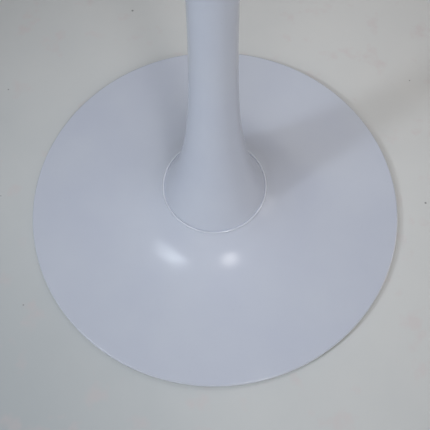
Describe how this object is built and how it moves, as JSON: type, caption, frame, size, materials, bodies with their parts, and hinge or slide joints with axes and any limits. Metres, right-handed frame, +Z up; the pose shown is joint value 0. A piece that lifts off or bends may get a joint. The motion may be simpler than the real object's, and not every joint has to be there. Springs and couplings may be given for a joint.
{
  "type": "round pedestal table",
  "caption": "Round lacquered tabletop on a slender trumpet column that flares into a low disc base with levelling feet underneath.",
  "frame": {"origin": "on the floor at the centre of the base, under the column", "axes": "+Z up along the column; +X and +Y are level, and the first levelling foot is midway between them"},
  "size_m": [0.7, 0.7, 0.74],
  "materials": {
    "lacquered_board": "satin white lacquer on fibreboard, cool tint",
    "lacquered_metal": "satin white lacquer, cool tint",
    "black_steel": "fine-textured black powder coat",
    "black_oxide_steel": "black oxide",
    "zinc_steel": "bright zinc plate",
    "cast_iron": "black primer over a sand-cast skin",
    "brass": "turned",
    "rubber": "matt",
    "nylon": "moulded, fine texture"
  },
  "bodies": {
    "table": {"tabletop": "lacquered_board", "top_plate": "black_steel", "rod_boss": "black_steel", "top_screw_1": "black_oxide_steel", "top_screw_2": "black_oxide_steel", "top_screw_3": "black_oxide_steel", "top_screw_4": "black_oxide_steel", "top_screw_5": "black_oxide_steel", "top_screw_6": "black_oxide_steel", "insert_1": "brass", "insert_2": "brass", "insert_3": "brass", "insert_4": "brass", "insert_5": "brass", "insert_6": "brass", "column": "lacquered_metal", "foot_disc": "zinc_steel", "head_disc": "zinc_steel", "base_cover": "lacquered_metal", "ballast": "cast_iron", "edge_ring": "rubber", "tie_rod": "zinc_steel", "rod_washer": "zinc_steel", "split_washer": "black_oxide_steel", "rod_nut": "zinc_steel"},
    "foot_1": {"foot_pad_1": "nylon"},
    "foot_2": {"foot_pad_2": "nylon"},
    "foot_3": {"foot_pad_3": "nylon"},
    "foot_4": {"foot_pad_4": "nylon"},
    "stud_1": {"foot_stud_1": "zinc_steel"},
    "stud_2": {"foot_stud_2": "zinc_steel"},
    "stud_3": {"foot_stud_3": "zinc_steel"},
    "stud_4": {"foot_stud_4": "zinc_steel"}
  },
  "joints": [
    {"name": "foot_1_drop", "type": "slide", "parent": "table", "child": "foot_1", "axis": [0, 0, -1], "range_m": [0, 0.004]},
    {"name": "foot_2_drop", "type": "slide", "parent": "table", "child": "foot_2", "axis": [0, 0, -1], "range_m": [0, 0.004]},
    {"name": "foot_3_drop", "type": "slide", "parent": "table", "child": "foot_3", "axis": [0, 0, -1], "range_m": [0, 0.004]},
    {"name": "foot_4_drop", "type": "slide", "parent": "table", "child": "foot_4", "axis": [0, 0, -1], "range_m": [0, 0.004]},
    {"name": "stud_1_turn", "type": "hinge", "parent": "foot_1", "child": "stud_1", "pos_m": [0.12021, 0.12021, 0.003], "axis": [0, 0, -1], "range_deg": [0, 1152.1]},
    {"name": "stud_2_turn", "type": "hinge", "parent": "foot_2", "child": "stud_2", "pos_m": [-0.12021, 0.12021, 0.003], "axis": [0, 0, -1], "range_deg": [0, 1152.1]},
    {"name": "stud_3_turn", "type": "hinge", "parent": "foot_3", "child": "stud_3", "pos_m": [-0.12021, -0.12021, 0.003], "axis": [0, 0, -1], "range_deg": [0, 1152.1]},
    {"name": "stud_4_turn", "type": "hinge", "parent": "foot_4", "child": "stud_4", "pos_m": [0.12021, -0.12021, 0.003], "axis": [0, 0, -1], "range_deg": [0, 1152.1]}
  ],
  "couplings": [
    {"joint": "stud_1_turn", "follows": "foot_1_drop", "rad_per_m": 5026.5},
    {"joint": "stud_2_turn", "follows": "foot_2_drop", "rad_per_m": 5026.5},
    {"joint": "stud_3_turn", "follows": "foot_3_drop", "rad_per_m": 5026.5},
    {"joint": "stud_4_turn", "follows": "foot_4_drop", "rad_per_m": 5026.5}
  ]
}
